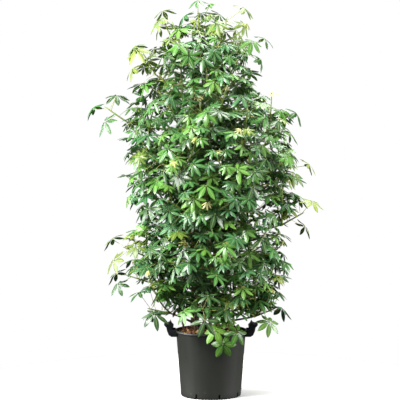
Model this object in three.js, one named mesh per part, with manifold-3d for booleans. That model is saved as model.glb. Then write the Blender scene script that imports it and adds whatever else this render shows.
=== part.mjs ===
// Potted umbrella plant: a dwarf schefflera bush grown up a coir pole in a black nursery pot
// with two clip-on carrying handles. Millimetres, +Z up, -Y to the front, and the origin in the
// middle of the pot's underside.
import * as THREE from 'three';
import { mergeVertices } from 'three/addons/utils/BufferGeometryUtils.js';
import Module from 'manifold-3d';

const wasm = await Module();
wasm.setup();

// Clearance between neighbouring pieces that touch on the real plant
const SEAT = 0.3;

// Pot: a tapered moulded shell, its lip, its corner radius and its drain slots
const POT_HEIGHT = 330;
const POT_FOOT_RADIUS = 150;
const POT_TOP_RADIUS = 174;
const POT_WALL = 3;
const POT_FLOOR = 4;
const POT_CORNER = 8;
const POT_FACETS = 32;
const LIP_RADIUS = 180;
const LIP_HEIGHT = 10;
const LIP_ROUND = 2;
const SLOT_COUNT = 8;
const SLOT_FIRST_AZIMUTH = -74;
const SLOT_WIDTH = 10;
const SLOT_TOP = 25;
const SLOT_DEPTH = 16;

// Bark: filled nearly to the lip round the edge and heaped in the middle
const BARK_EDGE_TOP = 314;
const BARK_HEAP = 20;
const BARK_BUMP = 4;
const BARK_RINGS = [0.8, 0.45];

// Carrying handles: two side arms, a curled grip across their tops and a saddle under the lip
const HANDLE_LENGTH = 108;
const HANDLE_ARM = 12;
const SADDLE_HEIGHT = 18;
const SADDLE_DEPTH = 6;

// Coir pole
const POLE = new THREE.Vector3(-80, 15, 0);
const POLE_RADIUS = 23;
const POLE_TOP = 1560;
const POLE_FOOT = 12;

// Woody stems: compass bearing round the pot's axis (0 to the right, 90 to the back), distance
// from the axis at the bark, height of the woody tip and radius at the foot
const STEMS = [
  { bearing: 116, foot: 82, top: 1785, radius: 11 },
  { bearing: 22, foot: 78, top: 1560, radius: 10 },
  { bearing: -36, foot: 84, top: 1330, radius: 10 },
  { bearing: -94, foot: 80, top: 1500, radius: 10.5 },
  { bearing: -152, foot: 84, top: 1640, radius: 10 },
  { bearing: 72, foot: 86, top: 1180, radius: 9 },
  { bearing: 164, foot: 143, top: 760, radius: 5 },
];
const STEM_FOOT = 150;
const STEM_TIP_RADIUS = 5;
const STEM_SIDES = 5;
const STEM_STEP = 150;
const STEM_WAIST = 700;
const CROWN_LEAN = -52;

// Crown outline in the front view: height, reach to the left and reach to the right of the axis
const CROWN = [
  [340, 200, 240],
  [470, 330, 370],
  [600, 440, 430],
  [840, 440, 430],
  [1090, 440, 480],
  [1400, 440, 460],
  [1480, 430, 320],
  [1600, 390, 235],
  [1720, 340, 205],
  [1870, 240, 150],
  [1970, 110, 40],
];

// Long shoots that reach out of the crown: where the wood ends, and where the shoot aims
const LONG_SHOOTS = [
  { end: [-150, -20, 1735], aim: [-0.35, 0, 0.94], young: true },
  { end: [45, -40, 1755], aim: [0.3, -0.1, 0.95], young: true },
  { end: [120, 30, 1650], aim: [0.6, 0, 0.8] },
  { end: [-275, -30, 1600], aim: [-0.55, 0, 0.85], young: true },
  { end: [-420, -60, 1370], aim: [-0.85, 0, 0.5] },
  { end: [285, -50, 1300], aim: [0.6, -0.1, 0.75] },
  { end: [305, 20, 1060], aim: [0.75, 0, 0.6], young: true },
  { end: [350, -70, 860], aim: [0.85, -0.1, 0.4], young: true },
  { end: [-320, -50, 700], aim: [-0.9, -0.1, 0.3], young: true },
  { end: [-310, 60, 560], aim: [-0.9, 0, 0.2] },
  { end: [215, -110, 410], aim: [0.8, -0.4, 0.3] },
  { end: [-205, -100, 425], aim: [-0.85, -0.4, 0.15] },
  { end: [-30, -165, 445], aim: [-0.1, -0.95, 0.1] },
];

// Front shoot, which hangs over the lip: where its wood ends, its aim, and its leaves' hubs
const HANGING_SHOOT = {
  end: [112, -118, 372],
  aim: [-0.3, -0.95, 0.05],
  leaves: [
    { hub: [18, -218, 358], normal: [-0.2, -0.75, 0.6] },
    { hub: [58, -232, 290], normal: [-0.1, -0.97, 0.15] },
    { hub: [128, -226, 352], normal: [0.35, -0.75, 0.5] },
  ],
};

// Shoots and leaves
const SHOOT_COUNT = 41;
const SHOOT_LENGTH = 105;
const SHOOT_RADIUS = 4.6;
const SHOOT_TIP_RADIUS = 3.6;
const BRANCH_RADIUS = 5.6;
const BRANCH_TIP_RADIUS = 4.6;
const BRANCH_LOWEST = 362;
const LIMB_SIDES = 4;
const LEAVES_PER_SHOOT = 4;
const SHOOT_SETBACK = 215;
const PETIOLE_SHORTEST = 70;
const PETIOLE_LONGEST = 115;
const PETIOLE_RADIUS = 1.5;
const LEAFLET_LENGTH = 74;
const LEAFLET_HALF_WIDTH = 11.5;
const LEAFLET_WIDEST = 0.58;
const LEAFLET_CREASE = 2.4;
const HUB_RADIUS = 9;
const HUB_DEPTH = 2.2;
const NECK = 8;
const SEVENTH_SHARE = 0.25;
const LEAF_GAP = 1.2;
const LEAF_TRIES = 70;
const SEED = 24;

const MATERIALS = {
  pot: new THREE.MeshStandardMaterial({ color: '#3d4040', roughness: 0.55, metalness: 0 }),
  handle: new THREE.MeshStandardMaterial({ color: '#16191b', roughness: 0.5, metalness: 0 }),
  bark: new THREE.MeshStandardMaterial({ color: '#7a5230', roughness: 0.95, metalness: 0 }),
  coir: new THREE.MeshStandardMaterial({ color: '#6a4a30', roughness: 1, metalness: 0 }),
  wood: new THREE.MeshStandardMaterial({ color: '#5b5138', roughness: 0.85, metalness: 0 }),
  leaf: new THREE.MeshStandardMaterial({ color: '#3c7a46', roughness: 0.4, metalness: 0 }),
  youngLeaf: new THREE.MeshStandardMaterial({ color: '#9dc03c', roughness: 0.4, metalness: 0 }),
};

const UP = new THREE.Vector3(0, 0, 1);
const radians = THREE.MathUtils.degToRad;
const plant = new THREE.Group();

// Random numbers from a seed, so that every run grows the same bush
function seeded(seed) {
  let state = seed;
  return (low = 0, high = 1) => {
    state = (state + 0x6d2b79f5) | 0;
    let mixed = Math.imul(state ^ (state >>> 15), 1 | state);
    mixed = (mixed + Math.imul(mixed ^ (mixed >>> 7), 61 | mixed)) ^ mixed;
    const unit = ((mixed ^ (mixed >>> 14)) >>> 0) / 4294967296;
    return low + (high - low) * unit;
  };
}
const draw = seeded(SEED);

// A vector in the horizontal plane at a compass bearing
function towards(bearing, length = 1) {
  const angle = radians(bearing);
  return new THREE.Vector3(Math.cos(angle) * length, Math.sin(angle) * length, 0);
}

// A closed three.js geometry as a solid for joining and cutting
function solid(geometry) {
  const bare = new THREE.BufferGeometry();
  bare.setAttribute('position', geometry.getAttribute('position').clone());
  if (geometry.index) {
    bare.setIndex(geometry.index.clone());
  }
  const merged = mergeVertices(bare, 1e-4);
  const vertProperties = new Float32Array(merged.getAttribute('position').array);
  const corners = Array.from(merged.index.array);
  const triVerts = [];
  for (let i = 0; i < corners.length; i += 3) {
    const [a, b, c] = corners.slice(i, i + 3);
    if (a !== b && b !== c && c !== a) {
      triVerts.push(a, b, c);
    }
  }
  const mesh = new wasm.Mesh({ numProp: 3, vertProperties, triVerts: new Uint32Array(triVerts) });
  return new wasm.Manifold(mesh);
}

// A solid back as a three.js geometry
function geometryOf(shape) {
  const mesh = shape.getMesh();
  const geometry = new THREE.BufferGeometry();
  geometry.setAttribute('position', new THREE.BufferAttribute(new Float32Array(mesh.vertProperties), 3));
  geometry.setIndex(new THREE.BufferAttribute(new Uint32Array(mesh.triVerts), 1));
  geometry.computeVertexNormals();
  return geometry;
}

function addPiece(name, geometry, material) {
  const mesh = new THREE.Mesh(geometry, material);
  mesh.name = name;
  plant.add(mesh);
  return mesh;
}

// Turn an outline of (radius, height) points round the pot's axis
function turned(outline, facets) {
  const points = outline.map(([radius, height]) => new THREE.Vector2(radius, height));
  return new THREE.LatheGeometry(points, facets).rotateX(Math.PI / 2);
}

// Extrude an outline of (x, y) points
function extruded(outline, depth) {
  const shape = new THREE.Shape(outline.map(([x, y]) => new THREE.Vector2(x, y)));
  return new THREE.ExtrudeGeometry(shape, { depth, bevelEnabled: false });
}

// Clearance: straight runs with a radius, which later pieces are kept clear of
const runs = [];

function claimRun(start, end, radius, owner) {
  const middle = start.clone().lerp(end, 0.5);
  const run = { start, along: end.clone().sub(start), middle, radius, owner };
  run.reach = run.along.length() / 2 + radius;
  runs.push(run);
}

function gapBetween(one, other) {
  const between = one.start.clone().sub(other.start);
  const a = one.along.lengthSq();
  const e = other.along.lengthSq();
  const b = one.along.dot(other.along);
  const c = one.along.dot(between);
  const f = other.along.dot(between);
  const parallel = a * e - b * b;
  let s = parallel > 1e-9 ? THREE.MathUtils.clamp((b * f - c * e) / parallel, 0, 1) : 0;
  let t = (b * s + f) / e;
  if (t < 0 || t > 1) {
    t = THREE.MathUtils.clamp(t, 0, 1);
    s = THREE.MathUtils.clamp((b * t - c) / a, 0, 1);
  }
  const onOne = one.start.clone().addScaledVector(one.along, s);
  const onOther = other.start.clone().addScaledVector(other.along, t);
  return onOne.distanceTo(onOther) - one.radius - other.radius;
}

// Whether a new run stays clear of all claimed ones but those of the owners it may meet
function isClear(start, end, radius, gap, mayMeet) {
  const run = { start, along: end.clone().sub(start), radius };
  const middle = start.clone().lerp(end, 0.5);
  const reach = run.along.length() / 2 + radius;
  for (const other of runs) {
    const far = reach + other.reach + gap;
    if (middle.distanceToSquared(other.middle) < far * far
      && !mayMeet.includes(other.owner) && gapBetween(run, other) < gap) {
      return false;
    }
  }
  return isClearOfPot(start, radius + gap) && isClearOfPot(end, radius + gap)
    && isClearOfPot(middle, radius + gap);
}

// Leaves stay above the bark's heap, and outside the lip where they hang lower than it
function isClearOfPot(point, room) {
  const fromAxis = Math.hypot(point.x, point.y);
  return point.z > BARK_EDGE_TOP + BARK_HEAP + BARK_BUMP + room || fromAxis > LIP_RADIUS + room;
}

// A tapering limb along a curve, as one closed tube with flat ends; dip lengthens its foot
function limb(curve, radiusAt, sides, steps, dip = 0) {
  const points = curve.getPoints(steps);
  const frames = curve.computeFrenetFrames(steps, false);
  points[0].addScaledVector(frames.tangents[0], -dip);
  const positions = [];
  for (let i = 0; i <= steps; i += 1) {
    for (let j = 0; j < sides; j += 1) {
      const angle = (2 * Math.PI * j) / sides;
      const vertex = points[i].clone();
      vertex.addScaledVector(frames.normals[i], radiusAt(i / steps) * Math.cos(angle));
      vertex.addScaledVector(frames.binormals[i], radiusAt(i / steps) * Math.sin(angle));
      positions.push(vertex.x, vertex.y, vertex.z);
    }
  }
  const index = [];
  for (let i = 0; i < steps; i += 1) {
    for (let j = 0; j < sides; j += 1) {
      const a = i * sides + j;
      const b = i * sides + ((j + 1) % sides);
      index.push(a, b, b + sides, a, b + sides, a + sides);
    }
  }
  const last = steps * sides;
  for (let j = 1; j < sides - 1; j += 1) {
    index.push(0, j + 1, j);
    index.push(last, last + j, last + j + 1);
  }
  const geometry = new THREE.BufferGeometry();
  geometry.setAttribute('position', new THREE.Float32BufferAttribute(positions, 3));
  geometry.setIndex(index);
  return geometry;
}

function taper(from, to) {
  return (along) => from + (to - from) * along;
}

// Pot
function potInnerRadius(height) {
  const slope = (POT_TOP_RADIUS - POT_FOOT_RADIUS) / (POT_HEIGHT - POT_CORNER);
  return POT_FOOT_RADIUS + slope * (height - POT_CORNER) - POT_WALL;
}

function buildPot() {
  const corner = POT_CORNER * (1 - Math.SQRT1_2);
  const innerCorner = potInnerRadius(POT_FLOOR + POT_CORNER);
  const shell = solid(turned([
    [0, 0],
    [POT_FOOT_RADIUS - POT_CORNER, 0],
    [POT_FOOT_RADIUS - corner, corner],
    [POT_FOOT_RADIUS, POT_CORNER],
    [POT_TOP_RADIUS - 0.6, POT_HEIGHT - LIP_HEIGHT],
    [LIP_RADIUS, POT_HEIGHT - LIP_HEIGHT],
    [LIP_RADIUS, POT_HEIGHT - LIP_ROUND],
    [LIP_RADIUS - LIP_ROUND, POT_HEIGHT],
    [POT_TOP_RADIUS - POT_WALL, POT_HEIGHT],
    [innerCorner, POT_FLOOR + POT_CORNER],
    [innerCorner - POT_CORNER, POT_FLOOR],
    [0, POT_FLOOR],
  ], POT_FACETS));
  let pot = shell;
  for (let i = 0; i < SLOT_COUNT; i += 1) {
    const cutter = new THREE.BoxGeometry(4 * SLOT_DEPTH, SLOT_WIDTH, 2 * SLOT_TOP);
    cutter.translate(POT_FOOT_RADIUS + SLOT_DEPTH, 0, 0);
    cutter.rotateZ(radians(-90 + SLOT_FIRST_AZIMUTH + (i * 360) / SLOT_COUNT));
    pot = pot.subtract(solid(cutter));
  }
  addPiece('pot', geometryOf(pot), MATERIALS.pot);
}

// Carrying handles: every outline is (radius from the pot's axis, height)
const ARM_OUTLINE = [
  [170, 300],
  [196, 300],
  [209, 308],
  [218, 329],
  [223, 354],
  [205, 356],
  [199, 340],
  [190, 333],
  [175.5, 331],
  [175.5, POT_HEIGHT - LIP_HEIGHT - SEAT],
  [170, POT_HEIGHT - LIP_HEIGHT - SEAT],
];
const GRIP_OUTLINE = [
  [186, 349],
  [199, 343],
  [208, 349],
  [224, 348],
  [233, 360],
  [219, 359],
  [208, 363],
  [203, 373],
  [195, 358],
];

function handleArm(offset) {
  const arm = extruded(ARM_OUTLINE, HANDLE_ARM);
  arm.rotateX(Math.PI / 2);
  arm.translate(0, offset + HANDLE_ARM / 2, 0);
  return solid(arm);
}

function handleSaddle() {
  const inner = LIP_RADIUS - SADDLE_DEPTH + 0.8;
  const half = Math.asin(HANDLE_LENGTH / 2 / LIP_RADIUS) * 0.98;
  const band = new THREE.Shape();
  band.absarc(0, 0, inner + SADDLE_DEPTH, -half, half, false);
  band.absarc(0, 0, inner, half, -half, true);
  const saddle = new THREE.ExtrudeGeometry(band, {
    depth: SADDLE_HEIGHT,
    bevelEnabled: false,
    curveSegments: 6,
  });
  saddle.translate(0, 0, POT_HEIGHT - LIP_HEIGHT - SEAT - SADDLE_HEIGHT);
  return solid(saddle);
}

function buildHandle(name, bearing) {
  const grip = extruded(GRIP_OUTLINE, HANDLE_LENGTH);
  grip.rotateX(Math.PI / 2);
  grip.translate(0, HANDLE_LENGTH / 2, 0);
  const reach = (HANDLE_LENGTH - HANDLE_ARM) / 2;
  const handle = handleSaddle().add(handleArm(-reach)).add(handleArm(reach)).add(solid(grip));
  addPiece(name, geometryOf(handle).rotateZ(radians(bearing)), MATERIALS.handle);
  const across = towards(bearing + 90, HANDLE_LENGTH / 2);
  const middle = towards(bearing, 212).setZ(336);
  claimRun(middle.clone().sub(across), middle.clone().add(across), 36, name);
}

// Coir pole
function poleCurve() {
  return new THREE.LineCurve3(POLE.clone().setZ(POLE_FOOT), POLE.clone().setZ(POLE_TOP));
}

function buildPole() {
  addPiece('moss_pole', limb(poleCurve(), () => POLE_RADIUS, 10, 1), MATERIALS.coir);
  claimRun(POLE.clone().setZ(POLE_FOOT), POLE.clone().setZ(POLE_TOP), POLE_RADIUS, 'moss_pole');
}

// Crown outline: how far the leaves reach from the axis at a height and bearing
function crownReach(height, bearing) {
  let row = 0;
  while (row < CROWN.length - 2 && CROWN[row + 1][0] < height) {
    row += 1;
  }
  const [low, lowLeft, lowRight] = CROWN[row];
  const [high, highLeft, highRight] = CROWN[row + 1];
  const share = THREE.MathUtils.clamp((height - low) / (high - low), 0, 1);
  const left = THREE.MathUtils.lerp(lowLeft, highLeft, share);
  const right = THREE.MathUtils.lerp(lowRight, highRight, share);
  const sideways = towards(bearing).x / (towards(bearing).x > 0 ? right : left);
  const forwards = towards(bearing).y / ((left + right) / 2);
  return 1 / Math.hypot(sideways, forwards);
}

// A stem's middle line: upright in the bark, close to the pole at its waist and leaning out to
// the crown at its top
function stemPoint(stem, height) {
  const outward = Math.max(30, crownReach(stem.top, stem.bearing) - SHOOT_SETBACK);
  const spread = THREE.MathUtils.smoothstep(height, STEM_WAIST, stem.top) ** 1.5;
  const fromAxis = THREE.MathUtils.lerp(stem.foot, outward, spread);
  const sway = 7 * THREE.MathUtils.smoothstep(height, 330, 600) * Math.sin(height / 150 + stem.foot);
  const point = towards(stem.bearing + sway, fromAxis).setZ(height);
  point.x += CROWN_LEAN * Math.max(0, (height - STEM_WAIST) / 1200) ** 2;
  return point;
}

function stemSteps(stem) {
  return Math.round((stem.top - STEM_FOOT) / STEM_STEP);
}

function stemCurve(stem) {
  const points = [];
  for (let i = 0; i <= stemSteps(stem); i += 1) {
    points.push(stemPoint(stem, STEM_FOOT + ((stem.top - STEM_FOOT) * i) / stemSteps(stem)));
  }
  return new THREE.CatmullRomCurve3(points);
}

function stemTaper(stem, extra = 0) {
  return taper(stem.radius + extra, STEM_TIP_RADIUS + extra);
}

// Every stem is claimed before any branch is placed
function startStem(stem, number) {
  stem.name = `stem_${number + 1}`;
  stem.curve = stemCurve(stem);
  stem.line = stem.curve.getPoints(stemSteps(stem));
  stem.wood = solid(limb(stem.curve, stemTaper(stem), STEM_SIDES, stemSteps(stem)));
  stem.line.slice(1).forEach((point, i) => (
    claimRun(stem.line[i], point, stem.radius, stem.name)));
}

// The middle of a stem's wood at a height, on the straight stretch that the wood has there
function stemAt(stem, height) {
  const above = stem.line.findIndex((point) => point.z >= height);
  const [low, high] = [stem.line[above - 1], stem.line[above]];
  return low.clone().lerp(high, (height - low.z) / (high.z - low.z));
}

// Bark, with a plain hole for the pole and for each stem
function buildBark() {
  const floor = POT_FLOOR + SEAT;
  const shrink = Math.cos(Math.PI / POT_FACETS);
  const bottom = potInnerRadius(POT_FLOOR + POT_CORNER);
  const edge = potInnerRadius(BARK_EDGE_TOP) - SEAT;
  const rings = BARK_RINGS.map((share) => (
    [edge * share, BARK_EDGE_TOP + BARK_HEAP * (1 - share ** 2)]));
  const geometry = turned([
    [0, floor],
    [bottom - POT_CORNER - SEAT, floor],
    [bottom - SEAT, POT_FLOOR + POT_CORNER],
    [edge, BARK_EDGE_TOP],
    ...rings,
    [0, BARK_EDGE_TOP + BARK_HEAP],
  ], POT_FACETS);
  const position = geometry.getAttribute('position');
  const innermost = edge * BARK_RINGS[0] + 1;
  for (let i = 0; i < position.count; i += 1) {
    const [x, y, z] = [position.getX(i), position.getY(i), position.getZ(i)];
    const fromAxis = Math.hypot(x, y);
    if (z > BARK_EDGE_TOP + 1 && fromAxis < innermost && fromAxis > 1) {
      position.setZ(i, z + BARK_BUMP * Math.sin(x * 0.9 + 3) * Math.cos(y * 1.1 - 1));
    }
  }
  let bark = solid(geometry.scale(shrink, shrink, 1));
  bark = bark.subtract(solid(limb(poleCurve(), () => POLE_RADIUS + 2 * SEAT, 10, 1, SEAT)));
  for (const stem of STEMS) {
    const hole = limb(stem.curve, stemTaper(stem, 2 * SEAT), STEM_SIDES, stemSteps(stem), SEAT);
    bark = bark.subtract(solid(hole));
  }
  addPiece('bark', geometryOf(bark), MATERIALS.bark);
}

// A branch from a stem to the foot of a shoot; it is bent by its start height until it is clear
function branchCurve(stem, startHeight, end, aim) {
  const start = stemAt(stem, startHeight);
  const span = start.distanceTo(end);
  const out = end.clone().sub(start).setZ(0).normalize();
  const first = start.clone().addScaledVector(out, span * 0.35).addScaledVector(UP, span * 0.12);
  const last = end.clone().addScaledVector(aim, -span * 0.3);
  return new THREE.CubicBezierCurve3(start, first, last, end);
}

function growBranch(shoot) {
  const byNearness = STEMS.filter((stem) => stem.top > shoot.end.z - 40)
    .sort((one, other) => nearness(one, shoot.end) - nearness(other, shoot.end));
  for (const stem of byNearness) {
    for (let drop = 60; drop < 420; drop += 30) {
      const height = Math.max(Math.min(shoot.end.z, stem.top) - drop, BRANCH_LOWEST);
      const curve = branchCurve(stem, height, shoot.end, shoot.aim);
      const points = curve.getPoints(3);
      const mayMeet = [stem.name];
      const clear = points.slice(1).every((point, i) => (
        isClear(points[i], point, BRANCH_RADIUS, LEAF_GAP, mayMeet)));
      if (clear) {
        stem.wood = stem.wood.add(solid(limb(
          curve, taper(BRANCH_RADIUS, BRANCH_TIP_RADIUS), LIMB_SIDES, 3)));
        points.slice(1).forEach((point, i) => (
          claimRun(points[i], point, BRANCH_RADIUS, `branch of ${shoot.name}`)));
        return true;
      }
    }
  }
  return false;
}

function nearness(stem, end) {
  return stemAt(stem, Math.min(end.z, stem.top) - 120).distanceTo(end);
}

// A green shoot goes on from the end of the wood, turning a little upwards
function shapeShoot(shoot) {
  const foot = shoot.end.clone().addScaledVector(shoot.aim, SEAT);
  const tip = foot.clone().addScaledVector(shoot.aim, SHOOT_LENGTH);
  const middle = foot.clone().lerp(tip, 0.5);
  tip.addScaledVector(UP, shoot.hangs ? -22 : 10);
  shoot.curve = new THREE.QuadraticBezierCurve3(foot, middle, tip);
  shoot.line = shoot.curve.getPoints(2);
}

function isShootClear(shoot) {
  return shoot.line.slice(1).every((point, i) => (
    isClear(shoot.line[i], point, SHOOT_RADIUS, 3 * LEAF_GAP, [])));
}

function startShoot(shoot) {
  shoot.parts = [solid(limb(shoot.curve, taper(SHOOT_RADIUS, SHOOT_TIP_RADIUS), LIMB_SIDES, 3))];
  shoot.line.slice(1).forEach((point, i) => (
    claimRun(shoot.line[i], point, SHOOT_RADIUS, shoot.name)));
}

// A compound leaf: a hub on its stalk and leaflets round it, each creased along its midrib
function leafletsOf(leaf) {
  const side = new THREE.Vector3().crossVectors(leaf.toRoot, leaf.normal).normalize();
  const front = new THREE.Vector3().crossVectors(leaf.normal, side);
  const leaflets = [];
  for (let i = 0; i < leaf.count; i += 1) {
    const angle = Math.PI / 2 + (2 * Math.PI * (i + 0.5)) / leaf.count;
    const away = side.clone().multiplyScalar(Math.cos(angle)).addScaledVector(front, Math.sin(angle));
    const across = side.clone().multiplyScalar(-Math.sin(angle)).addScaledVector(front, Math.cos(angle));
    const droop = radians(leaf.droop + 5 * Math.sin(i * 2.4));
    const rib = away.clone().multiplyScalar(Math.cos(droop)).addScaledVector(leaf.normal, -Math.sin(droop));
    const length = leaf.size * (0.95 - 0.12 * Math.sin(angle));
    leaflets.push({ angle, rib, across, length, face: new THREE.Vector3().crossVectors(rib, across) });
  }
  return { side, front, leaflets };
}

function leafGeometry(leaf) {
  const { side, front, leaflets } = leafletsOf(leaf);
  const { hub, normal, count } = leaf;
  const positions = [hub];
  const index = [];
  const half = Math.PI / count;
  const slope = radians(leaf.droop);
  for (const { angle, rib, across, length, face } of leaflets) {
    const notch = hub.clone().addScaledVector(normal, -HUB_DEPTH - HUB_RADIUS * Math.sin(slope))
      .addScaledVector(side, HUB_RADIUS * Math.cos(slope) * Math.cos(angle - half))
      .addScaledVector(front, HUB_RADIUS * Math.cos(slope) * Math.sin(angle - half));
    const widest = hub.clone().addScaledVector(rib, length * LEAFLET_WIDEST)
      .addScaledVector(face, -LEAFLET_CREASE);
    positions.push(notch);
    positions.push(widest.clone().addScaledVector(across, -LEAFLET_HALF_WIDTH));
    positions.push(hub.clone().addScaledVector(rib, length));
    positions.push(widest.clone().addScaledVector(across, LEAFLET_HALF_WIDTH));
  }
  for (let i = 0; i < count; i += 1) {
    const [notch, right, tip, left] = [1, 2, 3, 4].map((corner) => corner + 4 * i);
    const next = 1 + 4 * ((i + 1) % count);
    index.push(0, notch, right, 0, right, tip, 0, tip, left, 0, left, next);
    index.push(right, left, tip, notch, left, right, notch, next, left);
  }
  const neck = 1 + 4 * count;
  const ring = (point, forward) => [0, 1, 2].forEach((corner) => {
    const turn = leaflets[0].angle + 2 * Math.PI * ((corner + 0.5) / 3 - 0.5 / count);
    positions.push(point.clone().addScaledVector(side, PETIOLE_RADIUS * Math.cos(turn))
      .addScaledVector(forward, PETIOLE_RADIUS * Math.sin(turn)));
  });
  const stalk = [hub.clone().addScaledVector(normal, -NECK), ...leaf.stalk];
  stalk.forEach((point, i) => {
    const down = i === 0 ? normal.clone().negate() : point.clone().sub(stalk[i - 1]).normalize();
    ring(point, new THREE.Vector3().crossVectors(side, down).normalize());
  });
  const under = (i) => neck + Math.floor((3 * (i + 0.5)) / count);
  for (let i = 0; i < count; i += 1) {
    const before = under((i + count - 1) % count);
    index.push(1 + 4 * ((i + 1) % count), 1 + 4 * i, under(i));
    if (before !== under(i)) {
      index.push(1 + 4 * i, before, under(i));
    }
  }
  for (let i = 0; i < stalk.length - 1; i += 1) {
    for (let corner = 0; corner < 3; corner += 1) {
      const a = neck + 3 * i + corner;
      const b = neck + 3 * i + ((corner + 1) % 3);
      index.push(a, a + 3, b + 3, a, b + 3, b);
    }
  }
  const root = neck + 3 * (stalk.length - 1);
  index.push(root + 2, root + 1, root);
  const geometry = new THREE.BufferGeometry();
  const numbers = positions.flatMap((point) => point.toArray());
  geometry.setAttribute('position', new THREE.Float32BufferAttribute(numbers, 3));
  geometry.setIndex(index);
  return geometry;
}

// The straight runs that stand for a leaf in the clearance test
function leafRuns(leaf) {
  const blades = leafletsOf(leaf).leaflets.map(({ rib, length }) => ({
    start: leaf.hub,
    end: leaf.hub.clone().addScaledVector(rib, length * 0.88),
    radius: LEAFLET_HALF_WIDTH,
    blade: true,
  }));
  const stalk = [leaf.hub, ...leaf.stalk];
  const stalks = stalk.slice(1).map((point, i) => ({
    start: stalk[i],
    end: point,
    radius: PETIOLE_RADIUS,
    blade: false,
  }));
  return [...blades, ...stalks];
}

function addLeaf(shoot, leaf) {
  shoot.parts.push(solid(leafGeometry(leaf)));
  for (const { start, end, radius, blade } of leafRuns(leaf)) {
    claimRun(start, end, radius, blade ? `${shoot.name} leaf` : shoot.name);
  }
  hubs.push(leaf.hub);
}

// One way that a leaf may stand on its shoot: a stalk at an angle and an upward-facing umbrella
function leafCandidate(shoot, first) {
  const share = first ? 0.97 : draw(0.4, 0.95);
  const root = shoot.curve.getPoint(share);
  const along = shoot.curve.getTangent(share);
  const opening = radians(first ? draw(5, 40) : draw(35, 85));
  const turn = draw(0, 2 * Math.PI);
  const side = new THREE.Vector3().crossVectors(along, UP).normalize();
  const over = new THREE.Vector3().crossVectors(side, along);
  const out = along.clone().multiplyScalar(Math.cos(opening))
    .addScaledVector(side, Math.sin(opening) * Math.cos(turn))
    .addScaledVector(over, Math.sin(opening) * Math.sin(turn));
  const length = draw(PETIOLE_SHORTEST, PETIOLE_LONGEST);
  const hub = root.clone().addScaledVector(out, length);
  const outward = hub.clone().setZ(0).normalize();
  const normal = out.clone().multiplyScalar(0.55).addScaledVector(UP, 0.75)
    .addScaledVector(outward, draw(0.1, 0.5)).normalize();
  return {
    hub,
    normal,
    toRoot: out.clone().negate(),
    stalk: [root],
    count: draw() < SEVENTH_SHARE ? 7 : 6,
    droop: draw(12, 27),
    size: LEAFLET_LENGTH * draw(0.9, 1.14),
  };
}

// How good a leaf's place is: far from the other hubs and inside the crown, or no good at all
function leafMerit(shoot, leaf) {
  if (leaf.normal.dot(leaf.toRoot) > -0.5) {
    return -1;
  }
  const reach = Math.hypot(leaf.hub.x, leaf.hub.y) + leaf.size * 0.9;
  const outline = crownReach(leaf.hub.z, THREE.MathUtils.radToDeg(Math.atan2(leaf.hub.y, leaf.hub.x)));
  if (!shoot.long && reach > outline + 20) {
    return -1;
  }
  const clear = leafRuns(leaf).every(({ start, end, radius, blade }) => (
    isClear(start, end, radius, LEAF_GAP, blade ? [] : [shoot.name])));
  if (!clear) {
    return -1;
  }
  const spacing = hubs.reduce((least, hub) => Math.min(least, hub.distanceTo(leaf.hub)), 220);
  return spacing + 0.25 * Math.min(reach, outline);
}

function growLeaf(shoot, first) {
  let best = null;
  let bestMerit = 0;
  for (let i = 0; i < LEAF_TRIES; i += 1) {
    const leaf = leafCandidate(shoot, first);
    const merit = leafMerit(shoot, leaf);
    if (merit > bestMerit) {
      best = leaf;
      bestMerit = merit;
    }
  }
  if (best) {
    addLeaf(shoot, best);
  }
}

// The hanging shoot's leaves face the front on stalks that arch over the lip from behind
function growHangingLeaves(shoot) {
  HANGING_SHOOT.leaves.forEach(({ hub, normal }, i) => {
    const root = shoot.curve.getPoint(0.45 + 0.22 * i);
    const place = new THREE.Vector3(...hub);
    const facing = new THREE.Vector3(...normal).normalize();
    const bend = place.clone().addScaledVector(facing, -26).addScaledVector(UP, 6);
    addLeaf(shoot, {
      hub: place,
      normal: facing,
      toRoot: bend.clone().sub(place).normalize(),
      stalk: [bend, root],
      count: 6,
      droop: 24,
      size: LEAFLET_LENGTH,
    });
  });
}

function finishShoot(shoot) {
  const [first, ...rest] = shoot.parts;
  const joined = rest.reduce((whole, part) => whole.add(part), first);
  addPiece(shoot.name, geometryOf(joined), shoot.young ? MATERIALS.youngLeaf : MATERIALS.leaf);
}

// The rule's shoots go where the crown is still emptiest
function crownPlace(ends) {
  let best = null;
  let bestSpacing = -1;
  for (let i = 0; i < 60; i += 1) {
    const height = draw(420, 1690);
    const bearing = draw(-180, 180);
    const rise = THREE.MathUtils.mapLinear(height, 420, 1690, 8, 62);
    const fromAxis = Math.max(60, crownReach(height, bearing) - SHOOT_SETBACK);
    const end = towards(bearing, fromAxis).setZ(height - 20);
    const aim = towards(bearing, Math.cos(radians(rise))).setZ(Math.sin(radians(rise)));
    const spacing = ends.reduce((least, other) => Math.min(least, other.distanceTo(end)), 1e9);
    if (spacing > bestSpacing) {
      best = { end, aim };
      bestSpacing = spacing;
    }
  }
  return best;
}

const hubs = [];

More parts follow.
